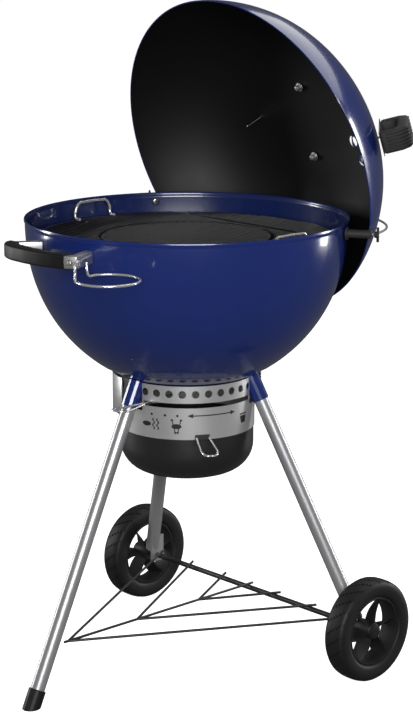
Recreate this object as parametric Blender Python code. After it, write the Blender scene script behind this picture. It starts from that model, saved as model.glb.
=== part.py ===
"""Kettle charcoal grill with its lid parked in the side holder.

Metres, +Z up. The foot leg and the bowl's handle are on the -X side, the two wheels are at +-Y, and the
lid hangs on the +X side. Z = 0 is the ground.
"""
import math

import bmesh
import bpy
from mathutils import Matrix, Vector

# ---- driving dimensions --------------------------------------------------------------------------------
AXIS_X = 0.00183            # the kettle's upright axis, so that the origin is the middle of the whole grill
GAP = 0.0003               # clearance between pieces that touch

BOWL_R = 0.2865            # outside radius of the bowl below its rim bead
BOWL_RIM_Z = 0.8257
BOWL_DEPTH = 0.31
BOWL_POWER_Z = 2.2124      # the bowl's outline is r = R (1 - (h / depth)^pz)^(1 / pr)
BOWL_POWER_R = 1.9241
BOWL_WALL = 0.0016
BOWL_BEAD = 0.0015
VENT_R = (0.034, 0.086)
VENT_HALF_ANGLE = 17

LID_R = 0.297
LID_DEPTH = 0.1726
LID_POWER_Z = 1.224
LID_POWER_R = 3.5
LID_WALL = 0.0016
LID_CENTRE = (0.1422, 0.0, 0.9171)   # middle of the lid's rim, from the kettle's axis
LID_TILT = 17.7                      # how far the parked lid's axis points above level

LEG_TUBE_R = 0.0128
LEG_TOP = (0.1175, 0.5460)           # radius and height where a leg's centre line ends, in its socket
LEG_SPLAY = (0.3681 - 0.1294) / 0.52     # radius gained per metre of drop
LEG_ANGLES = {"foot": 180, "right": -60, "left": 60}

AXLE_X = 0.1613
WHEEL_R = 0.0938
WHEEL_WIDTH = 0.044
WHEEL_Y = 0.3025
AXLE_R = 0.005
RACK_WIRE_R = 0.0026

COLLAR_R = 0.1222
COLLAR_WALL = 0.0012
COLLAR_Z = (0.4480, 0.5440)
COLLAR_NECK_Z = 0.4950               # the collar is a whole ring below this height
BUCKET_R = 0.1205
BUCKET_Z = (0.3640, 0.4560)
SLOT_Z = 0.5092
SLOT_HEIGHT = 0.0085
SLOT_ANGLES = (-171.6, -68.4)
HOLE_Z = 0.5295
HOLE_R = 0.0068
HOLE_PITCH = 11.0

GRATE_Z = (0.7865, 0.7915)
GRATE_R = 0.2720
FLAP_R = 0.2660
INSERT_R = 0.1525
FLAP_X = 0.1660
CHARCOAL_Z = (0.6300, 0.6360)
CHARCOAL_R = 0.2150

HOLDER_ANGLE = 59.5                  # the lid holder's tubes stand at this angle either side of +X
HOLDER_Z = 0.8085
HOLDER_TUBE_R = 0.0075
HOLDER_REACH = 0.3330

HANDLE_Z = 0.7950
ARM_HALF = 0.0105
RING_R = 0.0530


# ---- shop tools ----------------------------------------------------------------------------------------
def clear_scene():
    for old in list(bpy.data.objects):
        bpy.data.objects.remove(old, do_unlink=True)


def finish(name, colour, roughness, metallic=0.0):
    """A painted, plated or moulded finish."""
    mat = bpy.data.materials.new(name)
    mat.use_nodes = True
    shader = mat.node_tree.nodes["Principled BSDF"]
    shader.inputs["Base Color"].default_value = (*colour, 1)
    shader.inputs["Roughness"].default_value = roughness
    shader.inputs["Metallic"].default_value = metallic
    return mat


def place(obj, parent, location=(0, 0, 0), turn=None):
    bpy.context.scene.collection.objects.link(obj)
    obj.parent = parent
    obj.location = location
    if turn is not None:
        obj.rotation_euler = turn.to_euler()
    return obj


def empty(name, parent=None, location=(0, 0, 0), turn=None):
    return place(bpy.data.objects.new(name, None), parent, location, turn)


def solid(name, bm, mat, parent, location=(0, 0, 0), turn=None):
    """One mesh object from a closed bmesh, shaded smooth where its faces meet gently."""
    bmesh.ops.remove_doubles(bm, verts=bm.verts, dist=1e-6)
    bmesh.ops.recalc_face_normals(bm, faces=bm.faces)
    mesh = bpy.data.meshes.new(name)
    bm.to_mesh(mesh)
    bm.free()
    mesh.materials.append(mat)
    mesh.shade_smooth()
    mesh.set_sharp_from_angle(angle=math.radians(35))
    return place(bpy.data.objects.new(name, mesh), parent, location, turn)


def polar(radius, degrees, z=0.0):
    a = math.radians(degrees)
    return Vector((radius * math.cos(a), radius * math.sin(a), z))


def about_z(degrees):
    return Matrix.Rotation(math.radians(degrees), 3, "Z")


def turned(profile, segments):
    """A closed outline of (radius, height) points, turned about Z."""
    bm = bmesh.new()
    rings = []
    for radius, z in profile:
        if radius < 1e-7:
            rings.append([bm.verts.new((0, 0, z))] * segments)
        else:
            rings.append([bm.verts.new(polar(radius, 360 * i / segments, z)) for i in range(segments)])
    for a, b in zip(rings, rings[1:] + rings[:1]):
        for i in range(segments):
            j = (i + 1) % segments
            corners = list(dict.fromkeys([a[i], a[j], b[j], b[i]]))
            if len(corners) > 2:
                bm.faces.new(corners)
    return bm


def sector(profile, start, end, steps):
    """A closed outline of (radius, height) points swept through part of a turn, with flat ends."""
    bm = bmesh.new()
    angles = [start + (end - start) * i / steps for i in range(steps + 1)]
    rings = [[bm.verts.new(polar(radius, angle, z)) for radius, z in profile] for angle in angles]
    for a, b in zip(rings, rings[1:]):
        for i in range(len(profile)):
            j = (i + 1) % len(profile)
            bm.faces.new((a[i], a[j], b[j], b[i]))
    bm.faces.new(rings[0])
    bm.faces.new(list(reversed(rings[-1])))
    return bm


def prism(outline, low, high):
    """A flat outline of (x, y) points, thick from low to high along Z."""
    bm = bmesh.new()
    bottom = bm.faces.new([bm.verts.new((x, y, low)) for x, y in outline])
    moved = bmesh.ops.extrude_face_region(bm, geom=[bottom])["geom"]
    top = [v for v in moved if isinstance(v, bmesh.types.BMVert)]
    bmesh.ops.translate(bm, verts=top, vec=(0, 0, high - low))
    return bm


def block(size, centre=(0, 0, 0)):
    bm = bmesh.new()
    bmesh.ops.create_cube(bm, size=1)
    bmesh.ops.scale(bm, vec=size, verts=bm.verts)
    bmesh.ops.translate(bm, vec=centre, verts=bm.verts)
    return bm


def rod(start, end, radius, sides=12, end_radius=None):
    """A round bar between two points."""
    start, end = Vector(start), Vector(end)
    bm = bmesh.new()
    bmesh.ops.create_cone(
        bm, cap_ends=True, segments=sides, radius1=radius,
        radius2=radius if end_radius is None else end_radius, depth=(end - start).length,
    )
    turn = (end - start).to_track_quat("Z", "Y").to_matrix().to_4x4()
    bmesh.ops.transform(bm, matrix=Matrix.Translation((start + end) / 2) @ turn, verts=bm.verts)
    return bm


def joined(*pieces):
    """Several closed shapes that don't touch, as one cutting tool."""
    bm = bmesh.new()
    for piece in pieces:
        mesh = bpy.data.meshes.new("tool")
        piece.to_mesh(mesh)
        piece.free()
        bm.from_mesh(mesh)
        bpy.data.meshes.remove(mesh)
    return bm


def apply_tool(obj, bm, operation, parent, location=(0, 0, 0), turn=None):
    """Cut a shape out of an object, or weld one on to it."""
    tool = solid(obj.name + "." + operation.lower(), bm, obj.data.materials[0], parent, location, turn)
    tool.hide_render = True
    tool.display_type = "WIRE"
    step = obj.modifiers.new(operation.title(), "BOOLEAN")
    step.operation = operation
    step.object = tool
    return obj


def wire(name, points, radius, mat, parent, location=(0, 0, 0), turn=None, closed=False):
    """A bent round wire."""
    curve = bpy.data.curves.new(name, "CURVE")
    curve.dimensions = "3D"
    curve.bevel_depth = radius
    curve.bevel_resolution = 2
    curve.use_fill_caps = True
    spline = curve.splines.new("POLY")
    spline.points.add(len(points) - 1)
    for point, co in zip(spline.points, points):
        point.co = (*co, 1)
    spline.use_cyclic_u = closed
    curve.materials.append(mat)
    return place(bpy.data.objects.new(name, curve), parent, location, turn)


def bend(centre, radius, start, end, steps, z=0.0):
    """Points along an arc in the XY plane."""
    return [Vector(centre) + polar(radius, start + (end - start) * i / steps, z) for i in range(steps + 1)]


# ---- outlines ------------------------------------------------------------------------------------------
def bowl_radius(z, inset=0.0):
    h = min(max(BOWL_RIM_Z - z, 0.0), BOWL_DEPTH)
    return BOWL_R * (1 - (h / BOWL_DEPTH) ** BOWL_POWER_Z) ** (1 / BOWL_POWER_R) - inset


def bowl_height(radius, inset=0.0):
    """Height of the bowl's skin at a radius, raised by an inset."""
    share = (1 - (radius / BOWL_R) ** BOWL_POWER_R) ** (1 / BOWL_POWER_Z)
    return BOWL_RIM_Z - (BOWL_DEPTH - inset) * share


def lid_height(radius, inset=0.0):
    share = max(0.0, 1 - (radius / (LID_R - inset)) ** LID_POWER_R)
    return (LID_DEPTH - inset) * share ** (1 / LID_POWER_Z)


def dome_point(x, y):
    """The point of the lid's outside above (x, y), and the outward normal there, in the lid's frame."""
    step = 1e-4
    z = lid_height(math.hypot(x, y))
    slope_x = (lid_height(math.hypot(x + step, y)) - z) / step
    slope_y = (lid_height(math.hypot(x, y + step)) - z) / step
    return Vector((x, y, z)), Vector((-slope_x, -slope_y, 1)).normalized()


def leg_point(angle, z):
    return polar(LEG_TOP[0] + (LEG_TOP[1] - z) * LEG_SPLAY, angle, z)


clear_scene()
enamel = finish("blue_enamel", (0.012, 0.030, 0.165), 0.12)
leg_metal = finish("satin_grey", (0.42, 0.43, 0.43), 0.38, 0.9)
steel = finish("brushed_steel", (0.55, 0.55, 0.54), 0.36, 1.0)
chrome = finish("chrome_wire", (0.72, 0.72, 0.73), 0.14, 1.0)
plated = finish("plated_grate", (0.50, 0.50, 0.50), 0.30, 1.0)
nylon = finish("black_nylon", (0.014, 0.014, 0.015), 0.45)
tyre_plastic = finish("wheel_plastic", (0.018, 0.018, 0.019), 0.55)
rack_black = finish("black_wire", (0.012, 0.012, 0.012), 0.42)
bucket_coat = finish("charcoal_coat", (0.030, 0.030, 0.032), 0.42)

grill = empty("kettle_axis", None, (AXIS_X, 0, 0))

# ---- bowl ----------------------------------------------------------------------------------------------
outer = [BOWL_RIM_Z - 0.010 - 0.040 * i for i in range(7)]
outer_radii = [0.105, 0.075, 0.045, 0.020]
outside = [(bowl_radius(z), z) for z in outer] + [(r, bowl_height(r)) for r in outer_radii]
inside = [(r, bowl_height(r, BOWL_WALL)) for r in reversed(outer_radii)]
inside += [(bowl_radius(z, BOWL_WALL), z) for z in reversed(outer)]
bead = BOWL_R + BOWL_BEAD
bowl_outline = [(bead, BOWL_RIM_Z), (bead, BOWL_RIM_Z - 0.006)] + outside + [(0, bowl_height(0))]
bowl_outline += [(0, bowl_height(0, BOWL_WALL))] + inside + [(BOWL_R - BOWL_WALL - 0.001, BOWL_RIM_Z)]
bowl = solid("bowl", turned(bowl_outline, 48), enamel, grill)
vent_tool = [
    sector([(VENT_R[0], 0.49), (VENT_R[1], 0.49), (VENT_R[1], 0.56), (VENT_R[0], 0.56)],
           angle - VENT_HALF_ANGLE, angle + VENT_HALF_ANGLE, 4)
    for angle in (-120, 0, 120)
]
vent_tool.append(rod((0, 0, 0.49), (0, 0, 0.56), 0.0048))
apply_tool(bowl, joined(*vent_tool), "DIFFERENCE", grill)

# ---- legs and their sockets ----------------------------------------------------------------------------
SOCKET_R = 0.0150
for side, angle in LEG_ANGLES.items():
    low_z = WHEEL_R + 0.012 if side != "foot" else 0.030
    top, bottom = leg_point(angle, 0.5405), leg_point(angle, low_z)
    tube = solid("leg_" + side, rod(bottom, top, LEG_TUBE_R, 16), leg_metal, grill)
    if side == "foot":
        hollow = rod(leg_point(angle, 0.010), leg_point(angle, 0.055), 0.0105, 12)
        apply_tool(tube, hollow, "DIFFERENCE", grill)
    socket_top, socket_low = leg_point(angle, 0.5620), leg_point(angle, 0.5010)
    socket = solid("leg_socket_" + side, rod(socket_low, socket_top, SOCKET_R, 18), enamel, grill)
    bore = rod(leg_point(angle, 0.480), leg_point(angle, 0.5412), LEG_TUBE_R + GAP, 18)
    apply_tool(socket, bore, "DIFFERENCE", grill)
    bowl_side = [(bowl_radius(z, -0.0012), z) for z in (0.518, 0.535, 0.555, 0.575, 0.60)]
    clearance = turned([(0, 0.49)] + bowl_side + [(0, 0.60)], 48)
    apply_tool(socket, clearance, "DIFFERENCE", grill)

cap = solid("foot_cap", rod(leg_point(180, -0.02), leg_point(180, 0.0297), 0.0155, 18), nylon, grill)
plug = rod(leg_point(180, 0.028), leg_point(180, 0.048), 0.0100, 12)
apply_tool(cap, plug, "UNION", grill)
apply_tool(cap, block((0.2, 0.2, 0.1), leg_point(180, -0.05)), "DIFFERENCE", grill)

# ---- axle, wheels and bottom rack ----------------------------------------------------------------------
axle_centre = Vector((AXLE_X, 0, WHEEL_R))
axle_half = WHEEL_Y + 0.0160
axle = solid("axle", rod((0, -axle_half, 0), (0, axle_half, 0), AXLE_R, 12), rack_black, grill, axle_centre)
rim_outline = [(0.0632, 0.018), (0.0632, -0.018), (0.0580, -0.018), (0.0560, -0.004), (0.0560, 0.004),
               (0.0580, 0.018)]
hub_outline = [(0.0145, 0.0165), (0.0145, -0.018), (AXLE_R + GAP, -0.018), (AXLE_R + GAP, 0.0165)]
tyre_outline = [(0.0635, 0.0195), (0.0700, WHEEL_WIDTH / 2), (0.0860, WHEEL_WIDTH / 2), (0.0925, 0.017),
                (WHEEL_R, 0.008), (WHEEL_R, -0.008), (0.0925, -0.017), (0.0860, -WHEEL_WIDTH / 2),
                (0.0700, -WHEEL_WIDTH / 2), (0.0635, -0.0195)]
for side, sign in (("right", -1), ("left", 1)):
    hub = Vector((AXLE_X, sign * WHEEL_Y, WHEEL_R))
    upright = Matrix.Rotation(math.radians(-90 * sign), 3, "X")      # local +Z is the outside face
    solid("tyre_" + side, turned(tyre_outline, 32), tyre_plastic, grill, hub, upright)
    wheel = solid("wheel_" + side, turned(rim_outline, 32), tyre_plastic, grill, hub, upright)
    apply_tool(wheel, turned(hub_outline, 16), "UNION", grill, hub, upright)
    blades = [(0.0125, -0.009), (0.0590, -0.0045), (0.0590, 0.0125), (0.0125, 0.004)]
    for turn in range(6):
        blade = prism(blades, -0.003 - 0.0004 * turn, 0.010 + 0.0004 * turn)
        apply_tool(wheel, blade, "UNION", grill, hub, upright @ about_z(60 * turn))
    cap_outline = [(0, 0.0195), (0.010, 0.0195), (0.0135, 0.0185), (0.0140, 0.0168), (0, 0.0168)]
    solid("hub_cap_" + side, turned(cap_outline, 20), tyre_plastic, grill, hub, upright)
    # the flattened shoe that carries the axle at the foot of the leg
    angle = LEG_ANGLES[side]
    shoe_y = sign * 0.2655
    shoe = block((0.030, 0.0050, 0.052), (AXLE_X + 0.001, shoe_y, WHEEL_R + 0.014))
    shoe_node = solid("axle_shoe_" + side, shoe, leg_metal, grill)
    axle_hole = rod((AXLE_X, shoe_y - 0.02, WHEEL_R), (AXLE_X, shoe_y + 0.02, WHEEL_R), AXLE_R + GAP)
    apply_tool(shoe_node, axle_hole, "DIFFERENCE", grill)
    apply_tool(shoe_node, rod(leg_point(angle, 0.07), leg_point(angle, 0.20), LEG_TUBE_R + GAP, 16),
               "DIFFERENCE", grill)

rack_z = WHEEL_R + AXLE_R + RACK_WIRE_R + GAP


def vee_outline(tip_x, end_x, spread, half):
    """Flat outline of a V of bar, its tip on the X axis and its arms reaching end_x."""
    run = end_x - tip_x
    length = math.hypot(run, spread)
    across = (half * spread / length, half * run / length)
    mitre = half * length / spread
    upper = [(end_x - across[0], spread + across[1]), (end_x + across[0], spread - across[1])]
    lower = [(x, -y) for x, y in reversed(upper)]
    return [(tip_x - mitre, 0)] + upper + [(tip_x + mitre, 0)] + lower


spine_length = AXLE_X + 0.010 + 0.2930
spine = block((spine_length, 2 * RACK_WIRE_R, 2 * RACK_WIRE_R), (spine_length / 2 - 0.2930, 0, rack_z))
rack = solid("bottom_rack", spine, rack_black, grill)
for number, (tip_x, spread) in enumerate(((-0.284, 0.2560), (-0.123, 0.1680), (0.029, 0.0750)), 1):
    half = RACK_WIRE_R - 0.0002 * number
    vee = prism(vee_outline(tip_x, AXLE_X + 0.008, spread, half), rack_z - half, rack_z + half)
    apply_tool(rack, vee, "UNION", grill)

# ---- ash collar, guards and bucket ---------------------------------------------------------------------
collar_inner = COLLAR_R - COLLAR_WALL
collar_outline = [(COLLAR_R, COLLAR_Z[0]), (COLLAR_R, COLLAR_Z[1]), (collar_inner, COLLAR_Z[1]),
                  (collar_inner, COLLAR_Z[0])]
collar = solid("ash_collar", turned(collar_outline, 48), steel, grill)
notches = [
    sector([(0.10, COLLAR_NECK_Z), (0.15, COLLAR_NECK_Z), (0.15, 0.60), (0.10, 0.60)],
           angle - 7.2, angle + 7.2, 2)
    for angle in LEG_ANGLES.values()
]
apply_tool(collar, joined(*notches), "DIFFERENCE", grill)
holes = [
    rod(polar(0.10, angle, HOLE_Z), polar(0.15, angle, HOLE_Z), HOLE_R, 8)
    for middle in (-120, 0, 120)
    for angle in [middle + HOLE_PITCH * (i - 4.5) for i in range(10)]
]
slot_low, slot_high = SLOT_Z - SLOT_HEIGHT / 2, SLOT_Z + SLOT_HEIGHT / 2
holes.append(sector([(0.10, slot_low), (0.15, slot_low), (0.15, slot_high), (0.10, slot_high)],
                    *SLOT_ANGLES, 12))
apply_tool(collar, joined(*holes), "DIFFERENCE", grill)
for side, start, end in (("left", 72, 168), ("right", -49, 47)):
    guard_outline = [(0.1342, 0.4780), (0.1342, 0.5470), (0.1330, 0.5470), (0.1330, 0.4780)]
    guard = solid("collar_guard_" + side, sector(guard_outline, start, end, 10), steel, grill)
    lip_r = COLLAR_R + 0.0009
    lip = [(lip_r, 0.4780), (0.1336, 0.4780), (0.1336, 0.4792), (lip_r, 0.4792)]
    apply_tool(guard, sector(lip, start, end, 10), "UNION", grill)

bucket_wall = 0.0012
corner = 0.052
bucket_arc = [i * 90 / 4 for i in range(5)]
bucket_low = BUCKET_Z[0]
bucket_out = [(BUCKET_R, BUCKET_Z[1])]
bucket_out += [(BUCKET_R - corner + corner * math.cos(math.radians(a)),
                bucket_low + corner * (1 - math.sin(math.radians(a)))) for a in bucket_arc]
bucket_in = [(r - bucket_wall, z + (bucket_wall if z < BUCKET_Z[1] - 0.01 else 0)) for r, z in bucket_out]
bucket_outline = bucket_out + [(0, bucket_low)] + [(0, bucket_low + bucket_wall)] + list(reversed(bucket_in))
bucket = solid("ash_bucket", turned(bucket_outline, 36), bucket_coat, grill)

BAIL_ANGLE = -120
bail_frame = empty("bail_frame", grill, polar(0.1276, BAIL_ANGLE, 0.4525), about_z(BAIL_ANGLE + 90))
# in this frame +X runs along the bucket's side, -Y points away from the bucket
solid("bail_bracket", block((0.026, 0.0022, 0.010), (0, 0.0030, 0)), nylon, bail_frame)
bail_points = [(-0.011, 0, 0), (-0.013, -0.030, -0.007), (-0.012, -0.058, -0.0135), (-0.007, -0.063, -0.0147),
               (0.009, -0.063, -0.0147), (0.014, -0.058, -0.0135), (0.0135, -0.030, -0.007), (0.011, 0, 0)]
wire("bail_handle", bail_points, 0.0018, chrome, bail_frame, closed=False)

# ---- vent sweep ----------------------------------------------------------------------------------------
SWEEP_REST = -170.2
LEVER_Z = 0.5082
LEVER_WIRE_R = 0.0019
solid("sweep_shaft", rod((0, 0, LEVER_Z + LEVER_WIRE_R + GAP), (0, 0, 0.5215), 0.0040, 12), steel, grill)
lever_points = [(0.0, 0, 0), (0.118, 0, 0), (0.132, -0.0035, 0), (0.176, -0.0120, 0),
                (0.190, -0.0140, 0.001), (0.1985, -0.0100, 0.002), (0.2005, 0.0, 0.002),
                (0.1985, 0.0100, 0.002), (0.190, 0.0140, 0.001), (0.176, 0.0120, 0), (0.140, 0.0060, 0),
                (0.128, 0.0052, 0)]
wire("vent_lever", lever_points, LEVER_WIRE_R, chrome, grill, (0, 0, LEVER_Z), about_z(SWEEP_REST))
blade_radii = [0.006, 0.020, 0.045, 0.075, 0.094]
lower = [(r, bowl_height(r, BOWL_WALL + 0.0014)) for r in blade_radii]
upper = [(r, bowl_height(r, BOWL_WALL + 0.0030)) for r in reversed(blade_radii)]
hub_low = bowl_height(0, BOWL_WALL + 0.0014)
sweep = solid("vent_blades", turned([(0.0043, hub_low), (0.018, hub_low + 0.0003), (0.018, hub_low + 0.006),
                                     (0.0043, hub_low + 0.006)], 24), steel, grill)
for turn in range(3):
    centre = -120 + 30 + 120 * turn
    apply_tool(sweep, sector(lower + upper, centre - 20, centre + 20, 4), "UNION", grill)

# ---- grates --------------------------------------------------------------------------------------------
def disc_outline(radius, limit, sign, steps):
    """Part of a disc beyond x = limit, on one side."""
    reach = math.degrees(math.acos(limit / radius))
    return [(sign * radius * math.cos(math.radians(a)), radius * math.sin(math.radians(a)))
            for a in [reach * (2 * i / steps - 1) for i in range(steps + 1)]]


def slots(low_x, high_x, count, half_length, z_low, z_high, bar=0.006):
    """Long openings side by side along X, each running along Y up to half_length(x)."""
    pitch = (high_x - low_x) / count
    cuts = []
    for i in range(count):
        x = low_x + pitch * (i + 0.5)
        for inner, reach in half_length(x):
            size = (pitch - bar, reach - inner, z_high - z_low)
            cuts += [block(size, (x, side * (inner + reach) / 2, (z_low + z_high) / 2)) for side in (-1, 1)]
    return cuts


cut_low, cut_high = GRATE_Z[0] - 0.01, GRATE_Z[1] + 0.01
half_frame = FLAP_X - 0.0015
arc = math.degrees(math.asin(half_frame / GRATE_R))
frame_outline = [(GRATE_R * math.sin(math.radians(a)), GRATE_R * math.cos(math.radians(a)))
                 for a in [arc * (2 * i / 14 - 1) for i in range(15)]]
frame_outline += [(-x, -y) for x, y in frame_outline]
grate = solid("cooking_grate_frame", prism(frame_outline, *GRATE_Z), plated, grill)
apply_tool(grate, rod((0, 0, cut_low), (0, 0, cut_high), INSERT_R + 0.003, 48), "DIFFERENCE", grill)


def frame_reach(x):
    inner = math.sqrt(max((INSERT_R + 0.010) ** 2 - x * x, 0.0))
    return [(max(inner, 0.012), math.sqrt((GRATE_R - 0.012) ** 2 - x * x))]


apply_tool(grate, joined(*slots(-half_frame + 0.008, half_frame - 0.008, 9, frame_reach, cut_low, cut_high)),
           "DIFFERENCE", grill)
for name, sign in (("grate_flap_back", 1), ("grate_flap_front", -1)):
    flap_outline = [(x - sign * FLAP_X, y) for x, y in disc_outline(FLAP_R, FLAP_X, sign, 14)]
    flap = solid(name, prism(flap_outline, GRATE_Z[0] - GRATE_Z[1], 0), plated, grill,
                 (sign * FLAP_X, 0, GRATE_Z[1]))
    cuts = [block((0.017, 2 * reach, 0.02), (sign * x, 0, 0))
            for x, reach in ((0.0200, 0.172), (0.0430, 0.146), (0.0660, 0.104))]
    apply_tool(flap, joined(*cuts), "DIFFERENCE", grill, (sign * FLAP_X, 0, GRATE_Z[1]))
insert = solid("grate_centre_insert", rod((0, 0, GRATE_Z[0]), (0, 0, GRATE_Z[1]), INSERT_R, 48),
               plated, grill)


def insert_reach(x):
    return [(0.004, math.sqrt((INSERT_R - 0.010) ** 2 - x * x))]


apply_tool(insert, joined(*slots(-0.132, 0.132, 11, insert_reach, cut_low, cut_high)), "DIFFERENCE", grill)
for side, sign in (("left", 1), ("right", -1)):
    z = GRATE_Z[1] + 0.0025 + GAP
    y = sign * 0.2590
    loop = [(-0.0420, y - sign * 0.012, z), (-0.0420, y, z + 0.001), (-0.0400, y, z + 0.019),
            (-0.0340, y, z + 0.026), (-0.0240, y, z + 0.029), (0.0240, y, z + 0.029), (0.0340, y, z + 0.026),
            (0.0400, y, z + 0.019), (0.0420, y, z + 0.001), (0.0420, y - sign * 0.012, z)]
    wire("grate_loop_" + side, loop, 0.0025, chrome, grill)
for number, angle in enumerate((40, 140, 270), 1):
    wall = bowl_radius(GRATE_Z[0] - 0.018) - BOWL_WALL - 0.0012
    tab = sector([(wall - 0.022, GRATE_Z[0] - GAP - 0.002), (wall, GRATE_Z[0] - GAP - 0.002),
                  (wall, GRATE_Z[0] - GAP), (wall - 0.022, GRATE_Z[0] - GAP)], angle - 3, angle + 3, 2)
    foot = sector([(wall - 0.0015, GRATE_Z[0] - 0.018), (wall, GRATE_Z[0] - 0.018),
                   (wall, GRATE_Z[0] - 0.001), (wall - 0.0015, GRATE_Z[0] - 0.001)], angle - 3, angle + 3, 2)
    bracket = solid("grate_bracket_" + str(number), tab, steel, grill)
    apply_tool(bracket, foot, "UNION", grill)

charcoal = solid("charcoal_grate", rod((0, 0, CHARCOAL_Z[0]), (0, 0, CHARCOAL_Z[1]), CHARCOAL_R, 40),
                 plated, grill)


def charcoal_reach(x):
    return [(0.005, math.sqrt((CHARCOAL_R - 0.012) ** 2 - x * x))]


apply_tool(charcoal, joined(*slots(-0.190, 0.190, 11, charcoal_reach, 0.61, 0.66, 0.008)),
           "DIFFERENCE", grill)

# ---- bowl handle and tool ring -------------------------------------------------------------------------
bowl_at_handle = bowl_radius(HANDLE_Z)
grip_outer = [(-0.0580, -0.0740), (-0.0660, -0.0450), (-0.0710, -0.0100), (-0.0710, 0.0300),
              (-0.0660, 0.0650), (-0.0520, 0.0900), (-0.0400, 0.0980), (-0.0300, 0.0980)]
grip_inner = [(-0.0300, 0.0760), (-0.0380, 0.0700), (-0.0450, 0.0400), (-0.0470, 0.0000), (-0.0440, -0.0400),
              (-0.0360, -0.0740)]
grip = solid("bowl_handle_grip", prism(grip_outer + grip_inner, -0.0125, 0.0125), nylon, grill,
             (-bowl_at_handle, 0, HANDLE_Z))
bevel = grip.modifiers.new("Bevel", "BEVEL")
bevel.width = 0.004
bevel.segments = 2
bevel.limit_method = "ANGLE"
bevel.angle_limit = math.radians(50)
arm_ends = {"left": [(-0.0300 + GAP, 0.0960), (-0.0300 + GAP, 0.0780)],
            "right": [(-0.0450, -0.0940), (-0.0570, -0.0740 - GAP), (-0.0360, -0.0740 - GAP)]}
for side, sign in (("left", 1), ("right", -1)):
    skin = bowl_radius(HANDLE_Z + ARM_HALF) + 2 * GAP
    arm = [(-math.sqrt(skin ** 2 - y ** 2), sign * y) for y in (0.0560, 0.0720)]
    arm += [(x - bowl_at_handle, y) for x, y in arm_ends[side]]
    solid("bowl_handle_arm_" + side, prism(arm, HANDLE_Z - ARM_HALF, HANDLE_Z + ARM_HALF), steel, grill)
# domed heads on the far end of the grip and on the near arm
for side, start, out in (("left", (-0.0350, 0.0980 + GAP), (0, 1)),
                         ("right", (-0.0519, -0.0850), (-0.86, -0.51))):
    at = Vector((start[0] - bowl_at_handle, start[1], HANDLE_Z))
    way = Vector((*out, 0)).normalized()
    solid("bowl_handle_bolt_" + side, rod(at + way * 2 * GAP, at + way * 0.0040, 0.0052, 10, 0.0030),
          steel, grill)

ring_centre = Vector((-0.3100, -0.1480, 0.7710))
ring_points = [Vector((-0.2935, -0.0835, 0.8010)), Vector((-0.3430, -0.1085, 0.7990)),
               Vector((-0.3480, -0.1115, 0.7930)), Vector((-0.3489, -0.1120, 0.7770))]
ring_points += bend(ring_centre, RING_R, 140, 445, 20)
ring_points += [Vector((-0.3090, -0.0950, 0.7790)), Vector((-0.3080, -0.0920, 0.7930))]
wire("tool_ring", ring_points, 0.0022, chrome, grill)

# ---- lid holder ----------------------------------------------------------------------------------------
for side, sign in (("left", 1), ("right", -1)):
    angle = sign * HOLDER_ANGLE
    inner_r = bowl_radius(HOLDER_Z) + 0.0018
    root, tip = polar(inner_r, angle, HOLDER_Z), polar(HOLDER_REACH, angle, HOLDER_Z)
    spacer = solid("lid_holder_tube_" + side, rod(root, tip, HOLDER_TUBE_R, 14), nylon, grill)
    apply_tool(spacer, rod(root, polar(inner_r + 0.004, angle, HOLDER_Z), 0.0115, 14), "UNION", grill)
    inside_r = bowl_radius(HOLDER_Z) - BOWL_WALL - 0.0022
    root, tip = polar(inside_r, angle, HOLDER_Z), polar(inside_r - 0.003, angle, HOLDER_Z)
    solid("lid_holder_bolt_" + side, rod(root, tip, 0.0080, 14, 0.0055), chrome, grill)
    nut_r = HOLDER_REACH + 0.0058
    root, tip = polar(nut_r, angle, HOLDER_Z), polar(nut_r + 0.007, angle, HOLDER_Z)
    nut = solid("lid_holder_nut_" + side, rod(root, tip, 0.0060, 10), nylon, grill)
    wing = block((0.0045, 0.0035, 0.026), (nut_r + 0.0055, 0, HOLDER_Z))
    apply_tool(nut, wing, "UNION", grill, turn=about_z(angle))

HOLDER_WIRE_R = 0.0022
HOLDER_BULGE = 0.0420


def holder_wire_point(angle):
    """The wire bows out past the lid and dips behind it."""
    share = math.cos(math.radians(angle * 90 / HOLDER_ANGLE))
    return polar(HOLDER_REACH + 0.0027 + HOLDER_BULGE * share, angle, HOLDER_Z - 0.012 * share)


wire("lid_holder_wire", [holder_wire_point(HOLDER_ANGLE * (i / 8 - 1)) for i in range(17)],
     HOLDER_WIRE_R, chrome, grill)

# ---- lid -----------------------------------------------------------------------------------------------
level = Matrix(((0, -math.sin(math.radians(LID_TILT)), math.cos(math.radians(LID_TILT))), (1, 0, 0),
                (0, math.cos(math.radians(LID_TILT)), math.sin(math.radians(LID_TILT)))))
lid_frame = empty("lid_frame", grill, LID_CENTRE, level)
# in the lid's frame +Z is the lid's axis, +X is the grill's +Y, and +Y points up when the lid is parked
radii = [1.0, 0.975, 0.92, 0.84, 0.73, 0.58, 0.38, 0.18]
lid_out = [(LID_R * share, lid_height(LID_R * share)) for share in radii]
inner_r = LID_R - LID_WALL
lid_in = [(inner_r * share, lid_height(inner_r * share, LID_WALL)) for share in reversed(radii)]
lid_outline = lid_out + [(0, LID_DEPTH), (0, LID_DEPTH - LID_WALL)] + lid_in
lid = solid("lid", turned(lid_outline, 48), enamel, lid_frame)
DAMPER_AT = (-0.1360, -0.0340)
damper_point, damper_normal = dome_point(*DAMPER_AT)
damper_turn = damper_normal.to_track_quat("Z", "Y").to_matrix()
vent_holes = [rod(polar(0.026, a, -0.02), polar(0.026, a, 0.02), 0.0110, 10) for a in (0, 90, 180, 270)]
apply_tool(lid, joined(*vent_holes), "DIFFERENCE", lid_frame, damper_point, damper_turn)
THERMO_AT = (0.1200, 0.0)
thermo_point, thermo_normal = dome_point(*THERMO_AT)
thermo_turn = thermo_normal.to_track_quat("Z", "Y").to_matrix()
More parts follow.
